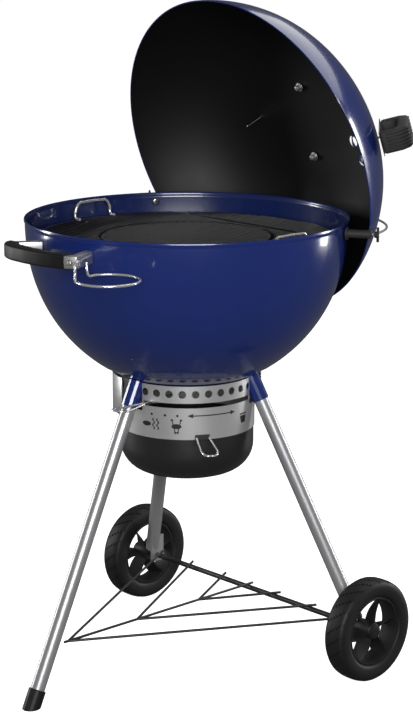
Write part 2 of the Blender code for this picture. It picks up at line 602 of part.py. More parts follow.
apply_tool(lid, rod((0, 0, -0.02), (0, 0, 0.02), 0.0040, 12), "DIFFERENCE", lid_frame, thermo_point,
           thermo_turn)
HANDLE_BOLT_Y = 0.0690
for number, y in enumerate((HANDLE_BOLT_Y, -HANDLE_BOLT_Y), 1):
    low = lid_height(HANDLE_BOLT_Y + 0.0085, LID_WALL) - 0.0014
    bolt = solid("lid_handle_bolt_" + str(number), rod((0, y, low), (0, y, low - 0.0015), 0.0085, 14),
                 steel, lid_frame)
    apply_tool(bolt, rod((0, y, low - 0.001), (0, y, low - 0.009), 0.0050, 8), "UNION", lid_frame)

arch_outer = [(-0.092, 0.0), (-0.088, 0.030), (-0.074, 0.054), (-0.045, 0.060), (0.045, 0.060),
              (0.074, 0.054), (0.088, 0.030), (0.092, 0.0)]
arch_inner = [(0.055, 0.0), (0.054, 0.024), (0.044, 0.036), (-0.044, 0.036), (-0.054, 0.024), (-0.055, 0.0)]
arch_turn = Matrix(((0, 0, 1), (1, 0, 0), (0, 1, 0)))          # outline's x along the lid's Y, its y along Z
arch = solid("lid_top_handle", prism(arch_outer + arch_inner, -0.014, 0.014), nylon, lid_frame,
             (0, 0, lid_height(0.0) + 0.0010), arch_turn)
feet_clearance = turned([(0, -0.01)] + [(r, lid_height(r) - lid_height(0) + GAP - 0.0010)
                                        for r in (0.14, 0.11, 0.08, 0.05)] + [(0, GAP - 0.0010 + 0.0002)], 32)
apply_tool(arch, feet_clearance, "DIFFERENCE", lid_frame, (0, 0, lid_height(0.0) + 0.0010))

SIDE_AT = (-0.2430, 0.0200)
side_point, side_normal = dome_point(*SIDE_AT)
side_across = Vector((-SIDE_AT[1], SIDE_AT[0], 0)).normalized()
side_along = side_across.cross(side_normal)
side_turn = Matrix((side_along, side_across, side_normal)).transposed()
side_frame = empty("side_handle_frame", lid_frame, side_point, side_turn)
solid("side_heat_shield", block((0.088, 0.044, 0.0012), (0, 0, 0.0075)), chrome, side_frame)
side_outer = [(-0.0420, 0.0), (-0.0420, 0.034), (-0.0330, 0.050), (0.0330, 0.050), (0.0420, 0.034),
              (0.0420, 0.0)]
side_inner = [(0.0270, 0.0), (0.0270, 0.022), (0.0200, 0.030), (-0.0200, 0.030), (-0.0270, 0.022),
              (-0.0270, 0.0)]
side_stand = Matrix(((1, 0, 0), (0, 0, -1), (0, 1, 0)))
solid("lid_side_handle", prism(side_outer + side_inner, -0.020, 0.020), nylon, side_frame,
      (0, 0, 0.0084), side_stand)

dial = turned([(0, 0.0110), (0.0210, 0.0110), (0.0250, 0.0080), (0.0250, 0.0022), (0, 0.0022)], 28)
thermometer = solid("thermometer", dial, chrome, lid_frame, thermo_point, thermo_turn)
probe = rod((0, 0, -0.048), (0, 0, 0.004), 0.0024, 8)
apply_tool(thermometer, probe, "UNION", lid_frame, thermo_point, thermo_turn)
damper_outline = [(0, 0.0062), (0.0120, 0.0062), (0.0400, 0.0042), (0.0400, 0.0030), (0, 0.0030)]
damper = solid("lid_damper", turned(damper_outline, 32), steel, lid_frame, damper_point, damper_turn)
apply_tool(damper, joined(*[rod(polar(0.026, a, -0.02), polar(0.026, a, 0.02), 0.0110, 10)
                            for a in (0, 90, 180, 270)]), "DIFFERENCE", lid_frame, damper_point, damper_turn)
apply_tool(damper, block((0.016, 0.0025, 0.018), (-0.033, 0, 0.012)), "UNION", lid_frame, damper_point,
           damper_turn @ about_z(45))
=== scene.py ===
"""Kettle charcoal grill with its lid parked in the side holder: the looks of every piece."""
import math

import bpy
from mathutils import Matrix, Vector


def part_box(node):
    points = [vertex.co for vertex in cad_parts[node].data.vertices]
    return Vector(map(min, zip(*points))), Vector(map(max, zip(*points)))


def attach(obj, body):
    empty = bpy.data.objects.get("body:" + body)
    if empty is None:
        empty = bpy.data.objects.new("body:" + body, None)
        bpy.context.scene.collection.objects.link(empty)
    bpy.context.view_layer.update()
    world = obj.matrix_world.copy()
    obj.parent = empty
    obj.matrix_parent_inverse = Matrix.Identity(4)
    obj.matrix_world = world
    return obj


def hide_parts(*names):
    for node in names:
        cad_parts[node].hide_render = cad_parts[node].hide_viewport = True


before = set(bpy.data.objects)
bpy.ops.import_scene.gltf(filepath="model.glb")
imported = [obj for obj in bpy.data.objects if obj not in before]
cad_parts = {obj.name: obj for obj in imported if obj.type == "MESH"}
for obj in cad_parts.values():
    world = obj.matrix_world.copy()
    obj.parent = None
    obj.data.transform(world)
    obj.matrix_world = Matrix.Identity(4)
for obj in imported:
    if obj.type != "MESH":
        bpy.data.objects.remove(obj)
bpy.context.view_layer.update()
axis_x = (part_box("bowl")[0].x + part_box("bowl")[1].x) / 2

# ---- bowl ----------------------------------------------------------------------------------------------
# A pressed steel bowl in deep blue porcelain enamel, with a rolled bead round its rim. Its bottom has
# three fan-shaped vents, which the sweep's blades open and close.
bowl_r, rim_z, bowl_depth = 0.2865, 0.8257, 0.31
bowl_wall = 0.0016
fullness_down, fullness_out = 2.2124, 1.9241


def bowl_radius(z):
    share = min((rim_z - z) / bowl_depth, 1)
    return bowl_r * (1 - share ** fullness_down) ** (1 / fullness_out)


def bowl_height(radius):
    return rim_z - bowl_depth * (1 - (radius / bowl_r) ** fullness_out) ** (1 / fullness_down)


class Value:
    """A number that varies over a surface: sums written with it add Math nodes."""

    def __init__(self, tree, socket):
        self.tree, self.socket = tree, socket

    def join(self, operation, first, second):
        node = self.tree.nodes.new("ShaderNodeMath")
        node.operation = operation
        for slot, term in zip(node.inputs, (first, second)):
            if isinstance(term, Value):
                self.tree.links.new(term.socket, slot)
            else:
                slot.default_value = term
        return Value(self.tree, node.outputs[0])

    def __add__(self, other):
        return self.join("ADD", self, other)

    def __mul__(self, other):
        return self.join("MULTIPLY", self, other)


class Finish:
    """A paint, plating or moulding, with the nodes that vary it."""

    def __init__(self, name, colour, roughness, metallic=0.0, coat=0.0, coat_roughness=0.03):
        self.material = bpy.data.materials.new(name)
        self.material.use_nodes = True
        self.tree = self.material.node_tree
        self.shader = self.tree.nodes["Principled BSDF"]
        self.colour = (*colour, 1)
        for socket, value in (("Base Color", self.colour), ("Roughness", roughness), ("Metallic", metallic),
                              ("Coat Weight", coat), ("Coat Roughness", coat_roughness)):
            self.shader.inputs[socket].default_value = value
        self.place = self.node("ShaderNodeTexCoord", {}, {}, "Object")

    def node(self, kind, settings, sockets, output=0):
        node = self.tree.nodes.new(kind)
        for key, value in settings.items():
            setattr(node, key, value)
        for key, value in sockets.items():
            if isinstance(value, Value):
                self.tree.links.new(value.socket, node.inputs[key])
            else:
                node.inputs[key].default_value = value
        return Value(self.tree, node.outputs[output])

    def feed(self, socket, value):
        self.tree.links.new(value.socket, self.shader.inputs[socket])

    def noise(self, scale, detail=3.0, stretch=(1, 1, 1)):
        """Cloudy variation about 0.5, its grain stretched along the axes."""
        where = self.node("ShaderNodeMapping", {}, {"Vector": self.place, "Scale": stretch}, "Vector")
        return self.node("ShaderNodeTexNoise", {}, {"Vector": where, "Scale": scale, "Detail": detail})

    def shade(self, mask, other):
        """Blend the finish's colour towards another where the mask is high."""
        colours = {0: mask, 6: self.colour, 7: (*other, 1)}
        blend = self.node("ShaderNodeMix", {"data_type": "RGBA"}, colours, 2)
        self.feed("Base Color", blend)

    def bump(self, height, strength, distance):
        self.feed("Normal", self.node("ShaderNodeBump", {}, {"Height": height, "Strength": strength,
                                                             "Distance": distance}, "Normal"))


def enamel_finish(name, colour, deep, roughness):
    """Fused porcelain: glassy, with a faint orange-peel ripple and small drifts of depth."""
    paint = Finish(name, colour, roughness, coat=0.5, coat_roughness=0.04)
    paint.shade(paint.noise(9.0, 4.0) * 0.7, deep)
    paint.feed("Roughness", paint.noise(30.0) * 0.10 + (roughness - 0.05))
    paint.bump(paint.noise(140.0, 2.0), 0.06, 0.0004)
    return paint.material


blue_enamel = enamel_finish("blue_enamel", (0.0100, 0.0240, 0.150), (0.0080, 0.0190, 0.115), 0.20)
inner_blue = enamel_finish("blue_enamel_inside", (0.0060, 0.0150, 0.085), (0.0050, 0.0120, 0.066), 0.26)


def turned(profile, segments, centre=(0, 0), close=False):
    """A ring drawn at the first (radius, height) and extruded to each of the next."""
    bpy.ops.object.select_all(action="DESELECT")
    bpy.context.tool_settings.mesh_select_mode = (True, False, False)
    radius, z = profile[0]
    bpy.ops.mesh.primitive_circle_add(vertices=segments, radius=radius, location=(*centre, z))
    bpy.ops.object.transform_apply(location=True, rotation=True, scale=True)
    bpy.ops.object.mode_set(mode="EDIT")
    for (old_r, old_z), (new_r, new_z) in zip(profile, profile[1:]):
        bpy.ops.mesh.extrude_region_move(TRANSFORM_OT_translate={"value": (0, 0, new_z - old_z)})
        bpy.ops.transform.resize(value=(new_r / old_r, new_r / old_r, 1), center_override=(*centre, new_z))
    if close:
        bpy.ops.mesh.select_all(action="SELECT")
        bpy.ops.mesh.remove_doubles(threshold=1e-6)
    else:
        bpy.ops.mesh.merge(type="CENTER")
    bpy.ops.mesh.select_all(action="SELECT")
    bpy.ops.mesh.normals_make_consistent(inside=False)
    bpy.ops.object.mode_set(mode="OBJECT")
    return bpy.context.active_object


def apply_modifier(piece, kind, **settings):
    """Add a modifier with its settings, and apply it."""
    step = piece.modifiers.new(kind.title(), kind)
    for key, value in settings.items():
        setattr(step, key, value)
    bpy.ops.object.select_all(action="DESELECT")
    piece.select_set(True)
    bpy.context.view_layer.objects.active = piece
    bpy.ops.object.modifier_apply(modifier=step.name)


def delete_faces(piece, wanted):
    """Delete the faces whose centre the test picks."""
    bpy.ops.object.mode_set(mode="EDIT")
    bpy.ops.mesh.select_all(action="DESELECT")
    bpy.ops.mesh.select_mode(type="FACE")
    bpy.ops.object.mode_set(mode="OBJECT")
    for face in piece.data.polygons:
        face.select = wanted(face.center)
    bpy.ops.object.mode_set(mode="EDIT")
    bpy.ops.mesh.delete(type="FACE")
    bpy.ops.object.mode_set(mode="OBJECT")


def smooth(piece, angle=40):
    bpy.ops.object.select_all(action="DESELECT")
    piece.select_set(True)
    bpy.context.view_layer.objects.active = piece
    bpy.ops.object.shade_smooth_by_angle(angle=math.radians(angle))


def settle(piece, name, body, slot, materials, *nodes):
    """Name a finished piece, paint it, and say what it rides on and stands for."""
    piece.name = piece.data.name = name
    if len(piece.data.materials) != len(materials):
        piece.data.materials.clear()
        for material in materials:
            piece.data.materials.append(material)
    smooth(piece)
    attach(piece, body)
    if nodes:
        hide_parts(*nodes)
    return piece


bead_curl = [(-0.0002, 0.0004), (0.0008, 0), (0.0015, 0.0012), (0.0015, 0.0042), (0.0008, 0.0060),
             (-0.0001, 0.0072)]
bead = [(bowl_r + out, rim_z - down) for out, down in bead_curl]
wall_heights = [rim_z - 0.010 - 0.0068 * i for i in range(38)]
floor_radii = [0.104 - 0.0050 * i for i in range(19)]
bowl_profile = bead + [(bowl_radius(z), z) for z in wall_heights]
bowl_profile += [(r, bowl_height(r)) for r in floor_radii if r < bowl_profile[-1][0] - 0.002]
bowl = turned(bowl_profile, 144, (axis_x, 0))


def in_vent(point):
    radius = math.hypot(point.x - axis_x, point.y)
    angle = math.degrees(math.atan2(point.y, point.x - axis_x))
    return 0.034 < radius < 0.086 and abs((angle + 60) % 120 - 60) < 17 and point.z < 0.6


delete_faces(bowl, in_vent)
bowl.data.materials.append(blue_enamel)
bowl.data.materials.append(inner_blue)
apply_modifier(bowl, "SOLIDIFY", thickness=bowl_wall, offset=-1, material_offset=1, use_even_offset=True)
settle(bowl, "bowl_shell", "base", "blue_enamel", [blue_enamel, inner_blue], "bowl")

# ---- legs ----------------------------------------------------------------------------------------------
# Three satin aluminium tubes, pushed into enamelled sockets under the bowl. The two wheel legs are
# pressed flat at the foot round the axle, and the third stands in a black cap.
leg_splay = (0.3681 - 0.1294) / 0.52
leg_angles = {"foot": 180, "right": -60, "left": 60}
leg_r = 0.0128


def polar(radius, degrees, z=0.0):
    angle = math.radians(degrees)
    return Vector((axis_x + radius * math.cos(angle), radius * math.sin(angle), z))


def leg_point(angle, z):
    return polar(0.1175 + (0.5460 - z) * leg_splay, angle, z)


satin = Finish("satin_grey", (0.44, 0.44, 0.45), 0.42, 0.60)
drawn_streaks = satin.noise(1.0, 2.0, (420, 420, 9))
satin.feed("Roughness", drawn_streaks * 0.16 + 0.27)
satin.shade(satin.noise(14.0) * 0.35, (0.36, 0.36, 0.37))
satin.bump(drawn_streaks, 0.05, 0.0002)


def stand_between(piece, start, end):
    """Stand a piece modelled along Z from the origin on the line from start to end."""
    turn = (end - start).to_track_quat("Z", "Y").to_matrix().to_4x4()
    piece.matrix_world = Matrix.Translation(start) @ turn
    bpy.ops.object.select_all(action="DESELECT")
    piece.select_set(True)
    bpy.context.view_layer.objects.active = piece
    bpy.ops.object.transform_apply(location=True, rotation=True, scale=True)
    return piece


def round_bar(start, end, profile_r, segments=40, edge=0.0008):
    """A round bar with eased ends."""
    length = (end - start).length
    core = profile_r * 0.4
    bar = turned([(core, 0), (profile_r - edge, 0), (profile_r, edge), (profile_r, length / 2),
                  (profile_r, length - edge), (profile_r - edge, length), (core, length)], segments)
    close_first_ring(bar)
    return stand_between(bar, start, end)


def close_first_ring(piece):
    """Fill the open ring that a turned piece started from."""
    bpy.ops.object.mode_set(mode="EDIT")
    bpy.ops.mesh.select_all(action="DESELECT")
    bpy.ops.mesh.select_mode(type="EDGE")
    bpy.ops.mesh.select_non_manifold(extend=False)
    bpy.ops.mesh.edge_face_add()
    bpy.ops.mesh.select_all(action="SELECT")
    bpy.ops.mesh.normals_make_consistent(inside=False)
    bpy.ops.object.mode_set(mode="OBJECT")


for side, angle in leg_angles.items():
    low_z = 0.0304 if side == "foot" else 0.1058
    leg = round_bar(leg_point(angle, low_z), leg_point(angle, 0.5405), leg_r)
    settle(leg, "leg_tube_" + side, "base", "satin_grey", [satin.material], "leg_" + side)


def dress(finish, *nodes):
    """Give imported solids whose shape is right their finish."""
    for node in nodes:
        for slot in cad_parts[node].material_slots:
            slot.material = finish


dress(blue_enamel, *["leg_socket_" + side for side in leg_angles])
dress(satin.material, "axle_shoe_left", "axle_shoe_right")

nylon = Finish("black_nylon", (0.0065, 0.0065, 0.0068), 0.48)
nylon.feed("Roughness", nylon.noise(60.0) * 0.18 + 0.40)
nylon.shader.inputs["Specular IOR Level"].default_value = 0.30
nylon.bump(nylon.noise(900.0, 2.0), 0.18, 0.0003)
dress(nylon.material, "foot_cap")

# ---- wheels and axle -----------------------------------------------------------------------------------
# Moulded charcoal-black wheels on a painted steel axle: a tyre with slanted tread grooves, and a rim with
# six twisted blades running out from a plain hub.
wheel_r, wheel_y = 0.0938, 0.3025
axle_x = axis_x + 0.1613

wheel_black = Finish("wheel_plastic", (0.0085, 0.0085, 0.0085), 0.62)
wheel_black.feed("Roughness", wheel_black.noise(50.0) * 0.20 + 0.45)
wheel_black.shader.inputs["Specular IOR Level"].default_value = 0.30
wheel_black.bump(wheel_black.noise(700.0, 2.0), 0.15, 0.0003)
rack_black = Finish("black_wire", (0.014, 0.014, 0.014), 0.40, coat=0.3, coat_roughness=0.2)
rack_black.feed("Roughness", rack_black.noise(40.0) * 0.16 + 0.30)
rack_black.bump(rack_black.noise(260.0), 0.10, 0.0003)


def groove_tread(tyre, segments):
    """Sink every sixth block of the tread, each row one step on, as slanted grooves."""
    bpy.ops.object.mode_set(mode="EDIT")
    bpy.ops.mesh.select_all(action="DESELECT")
    bpy.ops.mesh.select_mode(type="FACE")
    bpy.ops.object.mode_set(mode="OBJECT")
    for face in tyre.data.polygons:
        radius = math.hypot(face.center.x, face.center.y)
        step = int((math.atan2(face.center.y, face.center.x) / (2 * math.pi) % 1) * segments)
        row = int((face.center.z + 0.03) / 0.0052)
        face.select = radius > 0.0905 and (step + row) % 6 == 0
    bpy.ops.object.mode_set(mode="EDIT")
    bpy.ops.mesh.inset(thickness=0.0004, depth=-0.0016, use_individual=False)
    bpy.ops.object.mode_set(mode="OBJECT")


tyre_half = [(0.0635, 0.0180), (0.0650, 0.0200), (0.0700, 0.0214), (0.0790, 0.0220), (0.0850, 0.0216),
             (0.0895, 0.0196), (0.0922, 0.0160), (0.0933, 0.0110), (wheel_r, 0.0055)]
tyre_profile = tyre_half + [(wheel_r, 0.0)]
tyre_profile += [(radius, -z) for radius, z in reversed(tyre_half)] + tyre_half[:1]
rim_profile = [(0.0632, 0.0176), (0.0616, 0.0184), (0.0590, 0.0180), (0.0566, 0.0060), (0.0566, -0.0060),
               (0.0590, -0.0180), (0.0616, -0.0184), (0.0632, -0.0176), (0.0632, 0.0176)]
cap_profile = [(0.0140, 0.0168), (0.0136, 0.0185), (0.0110, 0.0194), (0.0050, 0.0197), (0.0010, 0.0197)]
hub_profile = [(0.0054, 0.0165), (0.0130, 0.0165), (0.0145, 0.0150), (0.0150, 0.0), (0.0160, -0.0165),
               (0.0150, -0.0180), (0.0054, -0.0180), (0.0054, 0.0165)]


def twisted_blade(turn):
    """One spoke: a thin slab, leaned over and tapered between the hub and the rim."""
    bpy.ops.object.select_all(action="DESELECT")
    bpy.ops.mesh.primitive_cube_add(size=1, location=(0, 0, 0))
    bpy.ops.object.mode_set(mode="EDIT")
    bpy.ops.mesh.subdivide(number_cuts=5)
    bpy.ops.object.mode_set(mode="OBJECT")
    blade = bpy.context.active_object
    for vertex in blade.data.vertices:
        along = vertex.co.x + 0.5
        lean = math.radians(16 + 34 * along)
        half_height = 0.0150 + 0.0010 * along
        across, height = vertex.co.y * 0.0034, vertex.co.z * 2 * half_height
        radius = 0.0135 + 0.0445 * along
        bow = 0.0045 * math.sin(math.pi * along)
        vertex.co = (radius, across * math.cos(lean) + height * math.sin(lean) * 0.55 + bow,
                     height * math.cos(lean) * 0.92)
    blade.matrix_world = Matrix.Rotation(math.radians(60 * turn), 4, "Z")
    bpy.ops.object.transform_apply(location=True, rotation=True, scale=True)
    return blade


def join_pieces(pieces):
    bpy.ops.object.select_all(action="DESELECT")
    for piece in pieces:
        piece.select_set(True)
    bpy.context.view_layer.objects.active = pieces[0]
    bpy.ops.object.join()
    return bpy.context.active_object


def put(piece, matrix):
    """Set a piece modelled at the origin in its place."""
    piece.matrix_world = matrix
    bpy.ops.object.select_all(action="DESELECT")
    piece.select_set(True)
    bpy.context.view_layer.objects.active = piece
    bpy.ops.object.transform_apply(location=True, rotation=True, scale=True)
    return piece


for side, sign in (("right", -1), ("left", 1)):
    body = "wheel_" + side + "_body"
    hub_place = Matrix.Translation((axle_x, sign * wheel_y, wheel_r))
    hub_place = hub_place @ Matrix.Rotation(math.radians(-90 * sign), 4, "X")
    tyre = turned(tyre_profile, 144, close=True)
    groove_tread(tyre, 144)
    settle(put(tyre, hub_place), "tyre_moulding_" + side, body, "wheel_plastic", [wheel_black.material],
           "tyre_" + side)
    parts = [turned(rim_profile, 72, close=True), turned(hub_profile, 40, close=True)]
    parts += [twisted_blade(turn) for turn in range(6)]
    settle(put(join_pieces(parts), hub_place), "wheel_spokes_" + side, body, "wheel_plastic",
           [wheel_black.material], "wheel_" + side)
    cap = turned(cap_profile, 40)
    close_first_ring(cap)
    settle(put(cap, hub_place), "wheel_cap_" + side, body, "wheel_plastic", [wheel_black.material],
           "hub_cap_" + side)

axle_r, axle_end = 0.005, wheel_y + 0.016
axle = round_bar(Vector((axle_x, -axle_end, wheel_r)), Vector((axle_x, axle_end, wheel_r)), axle_r, 24)
settle(axle, "axle_bar", "base", "black_wire", [rack_black.material], "axle")

# ---- bottom rack ---------------------------------------------------------------------------------------
# Black-coated wire in three nested Vs welded to a spine, resting on the axle. Its wires run a little past
# the axle.
rack_wire_r = 0.0026
rack_z = wheel_r + axle_r + rack_wire_r + 0.0003


def bent_wire(paths, radius, smooth_bends=True):
    """Round wire along one or more lists of points, kept as one mesh."""
    curve = bpy.data.curves.new("wire", "CURVE")
    curve.dimensions = "3D"
    curve.bevel_depth = radius
    curve.bevel_resolution = 3
    curve.resolution_u = 6
    curve.use_fill_caps = True
    for points in paths:
        spline = curve.splines.new("BEZIER")
        spline.bezier_points.add(len(points) - 1)
        for knot, point in zip(spline.bezier_points, points):
            knot.co = point
            knot.handle_left_type = knot.handle_right_type = "AUTO" if smooth_bends else "VECTOR"
    piece = bpy.data.objects.new("wire", curve)
    bpy.context.scene.collection.objects.link(piece)
    bpy.ops.object.select_all(action="DESELECT")
    piece.select_set(True)
    bpy.context.view_layer.objects.active = piece
    bpy.ops.object.convert(target="MESH")
    return bpy.context.active_object


rack_end = axle_x + 0.008
rack_paths = [[Vector((axis_x - 0.2925, 0, rack_z)), Vector((rack_end, 0, rack_z))]]
for tip_x, spread in ((-0.284, 0.2560), (-0.123, 0.1680), (0.029, 0.0750)):
    tip = Vector((axis_x + tip_x, 0, rack_z))
    for sign in (-1, 1):
        rack_paths.append([tip, Vector((rack_end, sign * spread, rack_z))])
rack = bent_wire(rack_paths, rack_wire_r - 0.0002, smooth_bends=False)
settle(rack, "rack_wires", "base", "black_wire", [rack_black.material], "bottom_rack")

# ---- ash collar ----------------------------------------------------------------------------------------
# A brushed steel ring under the bowl, with ten round air holes in each panel and a long slot that the vent
# lever slides in. Plain black marks beside the slot show the lever's settings.
collar_r, collar_wall = 0.1222, 0.0012
collar_low, collar_high, collar_neck = 0.4480, 0.5440, 0.4950

steel = Finish("brushed_steel", (0.66, 0.66, 0.66), 0.38, 0.65)
brushing = steel.noise(1.0, 3.0, (10, 10, 1500))
steel.feed("Roughness", brushing * 0.24 + 0.22)
steel.shade(brushing * 0.6, (0.50, 0.50, 0.50))
steel.bump(brushing, 0.05, 0.0002)

collar_inside = collar_r - collar_wall
collar_profile = [(collar_inside, collar_high), (collar_r, collar_high), (collar_r, collar_low + 0.010),
                  (collar_r, collar_low + 0.004), (collar_r, collar_low), (collar_inside, collar_low),
                  (collar_inside, collar_high)]
collar = turned(collar_profile, 160, (axis_x, 0), close=True)


def cutter_bar(start, end, radius):
    length = (end - start).length
    bar = turned([(radius, 0), (radius, length), (radius / 2, length)], 24)
    close_first_ring(bar)
    return stand_between(bar, start, end)


def curved_block(radii, heights, angles, steps):
    """A block bent round the kettle's axis."""
    bpy.ops.object.select_all(action="DESELECT")
    bpy.ops.mesh.primitive_plane_add(size=1)
    block = bpy.context.active_object
    corners = [(radius, z) for z in heights for radius in radii]
    for vertex, (radius, z) in zip(block.data.vertices, corners):
        vertex.co = polar(radius, angles[0], z)
    bpy.ops.object.mode_set(mode="EDIT")
    bpy.ops.mesh.select_all(action="SELECT")
    turn = math.radians((angles[1] - angles[0]) / steps)
    for _ in range(steps):
        bpy.ops.mesh.extrude_region_move()
        bpy.ops.transform.rotate(value=-turn, orient_axis="Z", center_override=(axis_x, 0, 0))
    bpy.ops.mesh.select_all(action="SELECT")
    bpy.ops.mesh.normals_make_consistent(inside=False)
    bpy.ops.object.mode_set(mode="OBJECT")
    return block


def subtract(piece, cutter):
    apply_modifier(piece, "BOOLEAN", object=cutter, operation="DIFFERENCE", solver="EXACT")
    bpy.data.objects.remove(cutter, do_unlink=True)


cut_in, cut_out = 0.110, 0.135
hole_z, hole_r, hole_step, holes_a_panel = 0.5295, 0.0068, 11.0, 10
for angle in leg_angles.values():
    subtract(collar, curved_block((cut_in, cut_out), (collar_neck, 0.58), (angle - 7.2, angle + 7.2), 4))
hole_cutters = []
for middle in (-120, 0, 120):
    for index in range(holes_a_panel):
        angle = middle + hole_step * (index - (holes_a_panel - 1) / 2)
        hole_cutters.append(cutter_bar(polar(cut_in, angle, hole_z), polar(cut_out, angle, hole_z), hole_r))
subtract(collar, join_pieces(hole_cutters))
subtract(collar, curved_block((cut_in, cut_out), (0.50495, 0.51345), (-171.6, -68.4), 40))
settle(collar, "collar_ring", "base", "brushed_steel", [steel.material], "ash_collar")

mark_black = Finish("printed_black", (0.010, 0.010, 0.010), 0.5)
mark_black.feed("Roughness", mark_black.noise(80.0) * 0.2 + 0.4)


def collar_strip(pairs, angle, z):
    """A printed strip on the collar, through pairs of (along, up) edge points in millimetres."""
    points, faces = [], []
    for pair in pairs:
        for along, up in pair:
            turn = math.degrees(along / 1000 / collar_r)
            points.append(polar(collar_r + 0.00005, angle + turn, z + up / 1000))
    for index in range(len(pairs) - 1):
        first = 2 * index
        faces.append((first, first + 2, first + 3, first + 1))
    mesh = bpy.data.meshes.new("mark")
    mesh.from_pydata(points, [], faces)
    piece = bpy.data.objects.new("mark", mesh)
    bpy.context.scene.collection.objects.link(piece)
    return piece


def oval_strip(half_length, half_height, angle, z, up=0.0, along=0.0):
    pairs = []
    for index in range(13):
        turn = math.pi * index / 12
        s, h = -half_length * math.cos(turn), half_height * max(math.sin(turn), 0.02)
        pairs.append(((along + s, up - h), (along + s, up + h)))
    return collar_strip(pairs, angle, z)


marks = [oval_strip(2.2, 2.2, angle, 0.4913) for angle in (-163, -151, -140.5)]
marks.append(oval_strip(9.0, 4.4, -168, 0.4730))
for shift in (-4.0, 4.0):
    wave = []
    for index in range(21):
        up = -10 + index
        centre = shift + 1.8 * math.sin(index * 0.62)
        wave.append(((centre - 1.2, up), (centre + 1.2, up)))
    marks.append(collar_strip(wave, -159.4, 0.4740))
marks.append(oval_strip(9.0, 4.6, -141.3, 0.4720))
for lean in (-1, 1):
    stem = [((lean * 5 - 0.9 + lean * up * 0.25, up), (lean * 5 + 0.9 + lean * up * 0.25, up))
            for up in (-11, -4, 4, 11)]
    marks.append(collar_strip(stem, -141.3, 0.4720))
    for end in (-1, 1):
        tip, base = end * 14, end * 10
        middle = lean * 5 + lean * end * 3.1
        head = [((middle - 3.0, base), (middle + 3.0, base)), ((middle - 0.1, tip), (middle + 0.1, tip))]
        marks.append(collar_strip(head, -141.3, 0.4720))
shaft = [((s, -1.0), (s, 1.0)) for s in [-37 + 74 * i / 24 for i in range(25)]]
marks.append(collar_strip(shaft, -110.6, 0.4913))
for end in (-1, 1):
    head = [((end * 46, -0.1), (end * 46, 0.1)), ((end * 36, -4.0), (end * 36, 4.0))]
    marks.append(collar_strip(head, -110.6, 0.4913))
marks.append(collar_strip([((s, -8), (s * 1.4, 5)) for s in (-6, -3, 0, 3, 6)], -78.4, 0.4750))
marks.append(collar_strip([((s, 7), (s, 9.4)) for s in (-9.5, -4, 0, 4, 9.5)], -78.4, 0.4750))
printed = join_pieces(marks)
apply_modifier(printed, "SOLIDIFY", thickness=0.0002, offset=0)
settle(printed, "collar_marks", "base", "brushed_steel", [mark_black.material])


def eased_copy(node, width, name, body, slot, materials, segments=3, angle=35):
    """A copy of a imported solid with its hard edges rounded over."""
    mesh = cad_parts[node].data.copy()
    piece = bpy.data.objects.new(name, mesh)
    bpy.context.scene.collection.objects.link(piece)
    bpy.ops.object.select_all(action="DESELECT")
    piece.select_set(True)
    bpy.context.view_layer.objects.active = piece
    bpy.ops.object.mode_set(mode="EDIT")
    bpy.ops.mesh.select_all(action="SELECT")
    bpy.ops.mesh.remove_doubles(threshold=1e-6)
    bpy.ops.mesh.dissolve_limited(angle_limit=math.radians(2))
    bpy.ops.object.mode_set(mode="OBJECT")
    apply_modifier(piece, "BEVEL", width=width, segments=segments, limit_method="ANGLE",
                   angle_limit=math.radians(angle), use_clamp_overlap=True)
    return settle(piece, name, body, slot, materials, node)


for side in ("left", "right"):
    start, end = (72, 168) if side == "left" else (-49, 47)
    guard = curved_block((0.1330, 0.1342), (0.4780, 0.5470), (start, end), 40)
    apply_modifier(guard, "BEVEL", width=0.0005, segments=2, limit_method="ANGLE",
                   angle_limit=math.radians(50))
    settle(guard, "guard_plate_" + side, "base", "brushed_steel", [steel.material], "collar_guard_" + side)

# ---- ash bucket ----------------------------------------------------------------------------------------
# A drawn steel bucket in a dark grey coat that hangs under the collar, with a small wire bail clipped in a
# black bracket at its front.
bucket_r, bucket_low, bucket_top, bucket_corner = 0.1205, 0.3640, 0.4560, 0.052

charcoal_coat = Finish("charcoal_coat", (0.014, 0.014, 0.015), 0.45, coat=0.15, coat_roughness=0.3)
charcoal_coat.feed("Roughness", charcoal_coat.noise(26.0) * 0.16 + 0.31)
charcoal_coat.shade(charcoal_coat.noise(12.0) * 0.5, (0.011, 0.011, 0.011))
charcoal_coat.bump(charcoal_coat.noise(500.0, 2.0), 0.08, 0.0003)

bucket_skin = [(bucket_r, bucket_top), (bucket_r, 0.4300)]
for index in range(13):
    turn = math.radians(90 * index / 12)
    bucket_skin.append((bucket_r - bucket_corner + bucket_corner * math.cos(turn),
                        bucket_low + bucket_corner * (1 - math.sin(turn))))
bucket_skin += [(0.040, bucket_low), (0.010, bucket_low)]
bucket = turned(bucket_skin, 128, (axis_x, 0))
apply_modifier(bucket, "SOLIDIFY", thickness=0.0012, offset=-1, use_even_offset=True)
settle(bucket, "bucket_shell", "bucket_body", "charcoal_coat", [charcoal_coat.material], "ash_bucket")
eased_copy("bail_bracket", 0.0008, "bail_clip", "bucket_body", "black_nylon", [nylon.material])

